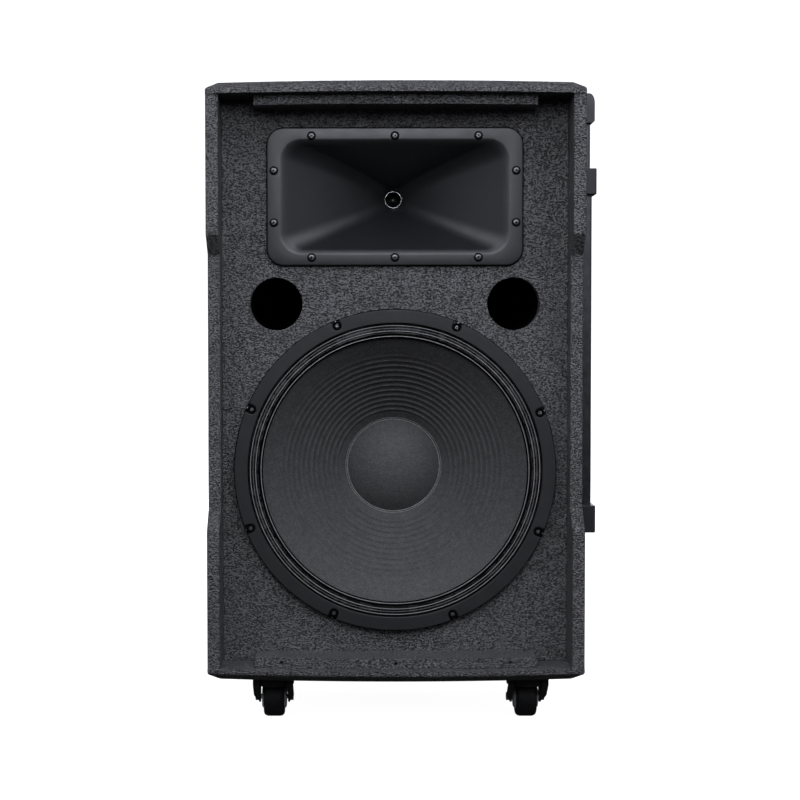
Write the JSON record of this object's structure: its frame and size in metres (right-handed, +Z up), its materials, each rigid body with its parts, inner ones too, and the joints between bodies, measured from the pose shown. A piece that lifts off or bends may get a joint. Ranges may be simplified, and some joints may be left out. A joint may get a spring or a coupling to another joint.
{
  "type": "pa speaker cabinet",
  "caption": "Two-way loudspeaker cabinet, grille off: bow-fronted textured box, horn, two ports, large ribbed cone woofer, swivel casters, telescopic side handle.",
  "frame": {"origin": "centre of the bounding box at floor level, under the four wheels", "axes": "+Z up, -Y out of the front with the horn and woofer, +X to the side with the trolley handle"},
  "size_m": [0.4706, 0.406, 0.767],
  "materials": {
    "painted_wood": "hard black paint with a pebbled texture",
    "bare_plywood": "bare",
    "horn_plastic": "satin moulded",
    "black_plastic": "matt",
    "trolley_plastic": "satin moulded",
    "painted_steel": "satin powder coat",
    "gasket_rubber": "satin",
    "cone_paper": "matt pulp",
    "coated_cloth": "doped, slightly glossy",
    "spider_cloth": "resin-treated weave",
    "zinc_steel": "zinc plated",
    "ferrite": "matt ceramic",
    "coil_former": "satin film",
    "copper_wire": "enamelled",
    "circuit_board": "satin",
    "capacitor_film": "glossy film",
    "tube_aluminium": "dark anodised",
    "hub_nylon": "satin",
    "tyre_rubber": "matt"
  },
  "bodies": {
    "root": {"left_side_panel": "painted_wood", "right_side_panel": "painted_wood", "top_panel": "painted_wood", "bottom_panel": "painted_wood", "rear_panel": "painted_wood", "front_baffle": "painted_wood", "upper_grille_batten": "painted_wood", "lower_grille_batten": "painted_wood", "front_to_rear_brace": "bare_plywood", "horn_flare": "horn_plastic", "compression_driver_magnet": "ferrite", "compression_driver_cap": "painted_steel", "left_port_tube": "black_plastic", "right_port_tube": "black_plastic", "woofer_basket": "painted_steel", "woofer_gasket_ring": "gasket_rubber", "woofer_surround": "coated_cloth", "woofer_spider": "spider_cloth", "woofer_top_plate": "zinc_steel", "woofer_magnet": "ferrite", "woofer_pole_and_back_plate": "zinc_steel", "input_plate": "painted_steel", "left_input_socket": "black_plastic", "right_input_socket": "black_plastic", "crossover_board": "circuit_board", "crossover_inductor": "copper_wire", "crossover_capacitor": "capacitor_film", "trolley_outer_tube_front": "tube_aluminium", "trolley_outer_tube_rear": "tube_aluminium", "trolley_collar_bracket": "trolley_plastic", "trolley_foot_bracket": "trolley_plastic", "front_left_caster_plate": "zinc_steel", "front_right_caster_plate": "zinc_steel", "rear_left_caster_plate": "zinc_steel", "rear_right_caster_plate": "zinc_steel"},
    "woofer_moving": {"woofer_cone": "cone_paper", "dust_cap": "cone_paper", "voice_coil": "coil_former"},
    "trolley": {"trolley_inner_tube_front": "tube_aluminium", "trolley_inner_tube_rear": "tube_aluminium", "trolley_grip": "trolley_plastic"},
    "release_button": {"trolley_release_button": "trolley_plastic"},
    "front_left_swivel": {"front_left_caster_fork": "painted_steel", "front_left_caster_axle": "zinc_steel"},
    "front_left_wheel": {"front_left_caster_hub": "hub_nylon", "front_left_caster_tyre": "tyre_rubber"},
    "front_right_swivel": {"front_right_caster_fork": "painted_steel", "front_right_caster_axle": "zinc_steel"},
    "front_right_wheel": {"front_right_caster_hub": "hub_nylon", "front_right_caster_tyre": "tyre_rubber"},
    "rear_left_swivel": {"rear_left_caster_fork": "painted_steel", "rear_left_caster_axle": "zinc_steel"},
    "rear_left_wheel": {"rear_left_caster_hub": "hub_nylon", "rear_left_caster_tyre": "tyre_rubber"},
    "rear_right_swivel": {"rear_right_caster_fork": "painted_steel", "rear_right_caster_axle": "zinc_steel"},
    "rear_right_wheel": {"rear_right_caster_hub": "hub_nylon", "rear_right_caster_tyre": "tyre_rubber"}
  },
  "joints": [
    {"name": "woofer_excursion", "type": "slide", "parent": "root", "child": "woofer_moving", "axis": [0, -1, 0], "range_m": [-0.005, 0.005], "stiffness_N_per_m": 4000, "deforming": ["woofer_surround", "woofer_spider"]},
    {"name": "trolley_slide", "type": "slide", "parent": "root", "child": "trolley", "axis": [0, 0, 1], "range_m": [0, 0.33]},
    {"name": "release_press", "type": "slide", "parent": "trolley", "child": "release_button", "axis": [0, 0, -1], "range_m": [0, 0.003], "stiffness_N_per_m": 400},
    {"name": "front_left_caster_swivel", "type": "hinge", "parent": "root", "child": "front_left_swivel", "pos_m": [-0.1608, -0.111, 0.053], "axis": [0, 0, 1], "continuous": true},
    {"name": "front_left_wheel_spin", "type": "hinge", "parent": "front_left_swivel", "child": "front_left_wheel", "pos_m": [-0.1608, -0.094, 0.024], "axis": [1, 0, 0], "continuous": true},
    {"name": "front_right_caster_swivel", "type": "hinge", "parent": "root", "child": "front_right_swivel", "pos_m": [0.1492, -0.111, 0.053], "axis": [0, 0, 1], "continuous": true},
    {"name": "front_right_wheel_spin", "type": "hinge", "parent": "front_right_swivel", "child": "front_right_wheel", "pos_m": [0.1492, -0.094, 0.024], "axis": [1, 0, 0], "continuous": true},
    {"name": "rear_left_caster_swivel", "type": "hinge", "parent": "root", "child": "rear_left_swivel", "pos_m": [-0.1608, 0.127, 0.053], "axis": [0, 0, 1], "continuous": true},
    {"name": "rear_left_wheel_spin", "type": "hinge", "parent": "rear_left_swivel", "child": "rear_left_wheel", "pos_m": [-0.1608, 0.144, 0.024], "axis": [1, 0, 0], "continuous": true},
    {"name": "rear_right_caster_swivel", "type": "hinge", "parent": "root", "child": "rear_right_swivel", "pos_m": [0.1492, 0.127, 0.053], "axis": [0, 0, 1], "continuous": true},
    {"name": "rear_right_wheel_spin", "type": "hinge", "parent": "rear_right_swivel", "child": "rear_right_wheel", "pos_m": [0.1492, 0.144, 0.024], "axis": [1, 0, 0], "continuous": true}
  ]
}
